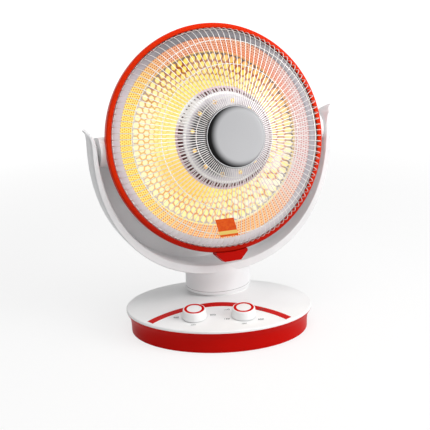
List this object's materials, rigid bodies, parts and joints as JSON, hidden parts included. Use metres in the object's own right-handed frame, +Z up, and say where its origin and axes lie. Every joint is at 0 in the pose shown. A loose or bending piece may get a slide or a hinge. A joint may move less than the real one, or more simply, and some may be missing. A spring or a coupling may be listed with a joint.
{
  "type": "tabletop carbon heater",
  "caption": "Round dish heater with a domed wire guard, tilting in a U-shaped yoke that swivels on an oval base with dials.",
  "frame": {"origin": "centre of the base's oval outline on the table surface", "axes": "+Z up, -Y towards the dials and the user, +X to the user's right"},
  "size_m": [0.4011, 0.2521, 0.4912],
  "materials": {
    "red_plastic": "glossy",
    "white_plastic": "satin gloss",
    "rim_orange": "glossy",
    "reflector_metal": "bright, embossed",
    "guard_wire": "bright plated wire",
    "guard_disc": "satin",
    "plain_steel": "zinc plated",
    "heavy_iron": "rough",
    "foot_rubber": "matt",
    "black_plastic": "matt",
    "ceramic": "unglazed",
    "quartz": "clear",
    "carbon": "glowing ribbon",
    "tag_orange": "matt paint",
    "brass": "plain"
  },
  "bodies": {
    "base": {"base_skirt": "red_plastic", "base_cover": "white_plastic", "base_plate": "black_plastic", "ballast_plate": "heavy_iron", "foot_strip": "foot_rubber", "base_screws": "plain_steel", "accent_stripe": "red_plastic", "cord_gland": "black_plastic", "terminal_block": "ceramic", "tilt_switch": "black_plastic", "mode_switch": "black_plastic", "heat_switch": "black_plastic", "switch_nuts": "brass", "swivel_bush": "black_plastic"},
    "left_dial": {"mode_knob": "white_plastic", "mode_knob_ring": "red_plastic", "mode_shaft": "plain_steel"},
    "right_dial": {"heat_knob": "white_plastic", "heat_knob_ring": "red_plastic", "heat_shaft": "plain_steel"},
    "column": {"yoke": "white_plastic", "swivel_spigot": "plain_steel", "spigot_screws": "plain_steel", "retaining_washer": "plain_steel", "circlip": "plain_steel", "pivot_bushes": "black_plastic"},
    "head": {"pivot_pins": "plain_steel", "friction_washers": "black_plastic", "rear_shell": "white_plastic", "rim_ring": "rim_orange", "rim_clip": "red_plastic", "clip_screw": "plain_steel", "reflector": "reflector_metal", "guard_wires_right": "guard_wire", "guard_wires_left": "guard_wire", "guard_rings": "guard_wire", "guard_disc": "guard_disc", "heat_tag": "tag_orange", "shield_cup": "guard_disc", "cup_post": "plain_steel", "cup_nut": "plain_steel", "carbon_lamp": "quartz", "lamp_filament": "carbon", "lamp_holders": "ceramic", "thermal_cutout": "black_plastic"}
  },
  "joints": [
    {"name": "head_swivel", "type": "hinge", "parent": "base", "child": "column", "pos_m": [0, 0.05, 0.054], "axis": [0, 0, 1], "range_deg": [-55.5, 14.5]},
    {"name": "head_tilt", "type": "hinge", "parent": "column", "child": "head", "pos_m": [-0.00175, 0.05468, 0.306], "axis": [-0.9367, -0.3502, 0], "range_deg": [-12.5, 12.5]},
    {"name": "mode_turn", "type": "hinge", "parent": "base", "child": "left_dial", "pos_m": [-0.039, -0.056, 0.04286], "axis": [0, -0.0732, 0.9973], "range_deg": [-90, 90]},
    {"name": "heat_turn", "type": "hinge", "parent": "base", "child": "right_dial", "pos_m": [0.039, -0.056, 0.04286], "axis": [0, -0.0732, 0.9973], "range_deg": [-120, 120]}
  ]
}
